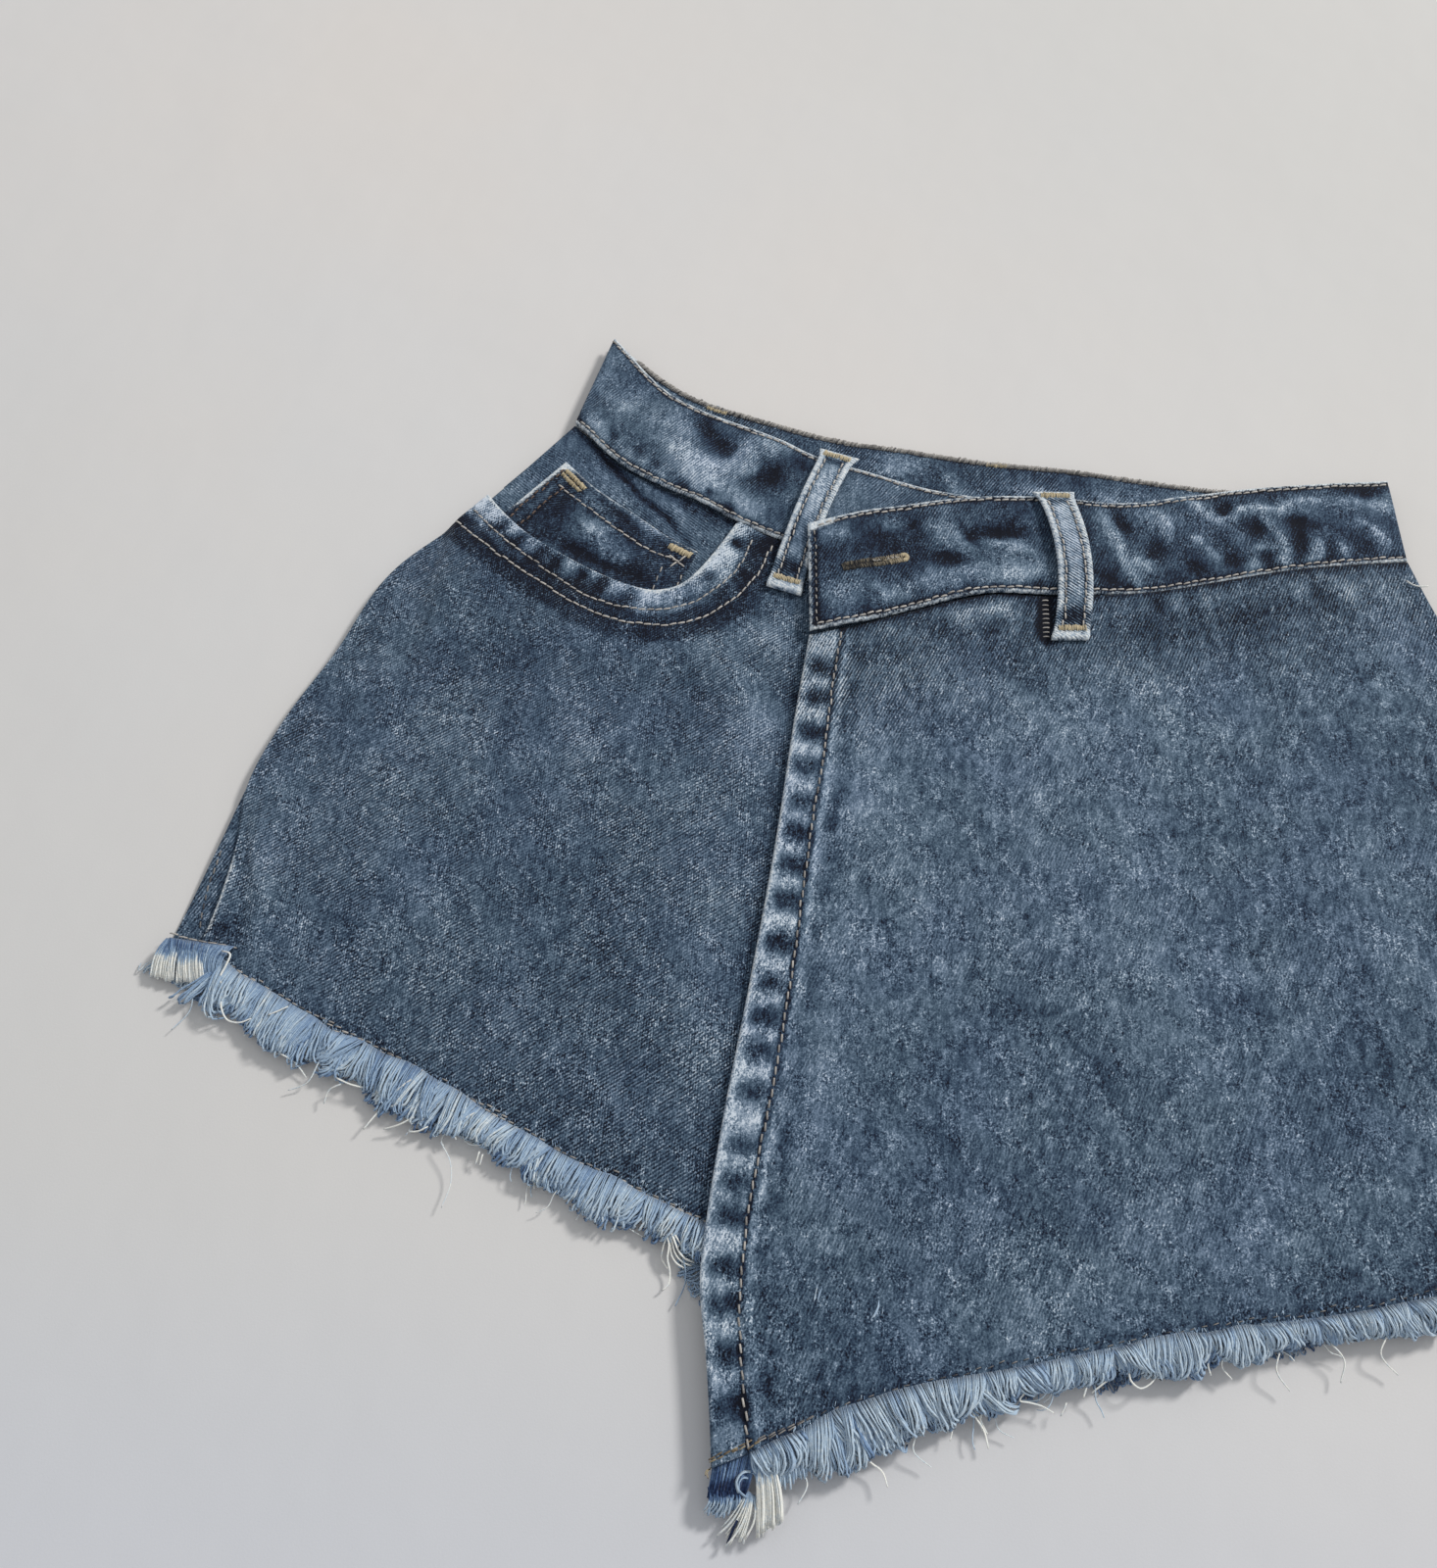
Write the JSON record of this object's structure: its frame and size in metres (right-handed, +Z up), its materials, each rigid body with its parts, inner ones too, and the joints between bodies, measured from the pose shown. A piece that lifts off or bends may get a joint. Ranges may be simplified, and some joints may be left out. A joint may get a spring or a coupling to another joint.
{
  "type": "denim wrap skort, laid flat",
  "caption": "A-line denim skort lying flat, front up: shorts with a scoop pocket under an open wrap front, shaped waistband with belt loops, frayed hems.",
  "frame": {"origin": "middle of the garment's footprint, on the surface it lies on", "axes": "+Z up out of the garment's front, +Y along the garment's own axis from hem to waist, +X across it to the wearer's left"},
  "size_m": [0.5048, 0.4134, 0.0108],
  "materials": {
    "denim_front": "stone-washed mid-blue twill, mottled",
    "denim_back": "stone-washed mid-blue twill, mottled",
    "denim_band": "stone-washed twill, roped and worn along the edges, tan topstitch",
    "denim_loop": "worn twill strip with tan topstitch and golden bar tacks",
    "fringe": "frayed light blue yarns with ivory weft threads"
  },
  "bodies": {
    "root": {"pocket_back_right": "denim_back", "pocket_back_left": "denim_back", "yoke_right": "denim_back", "yoke_left": "denim_back", "leg_back_right": "denim_back", "leg_back_left": "denim_back", "waistband_back": "denim_band", "leg_front_right": "denim_front", "pocket_facing_right": "denim_front", "coin_pocket": "denim_front", "leg_front_left": "denim_front", "wrap_panel": "denim_front", "waistband_front_right": "denim_band", "waistband_front_left": "denim_band", "belt_loop_front_right": "denim_loop", "belt_loop_front_left": "denim_loop", "belt_loop_back_right": "denim_loop", "belt_loop_back_centre": "denim_loop", "belt_loop_back_left": "denim_loop", "fringe_front_right": "fringe", "fringe_front_left": "fringe", "fringe_back_right": "fringe", "fringe_back_left": "fringe", "fringe_wrap": "fringe"}
  },
  "joints": []
}
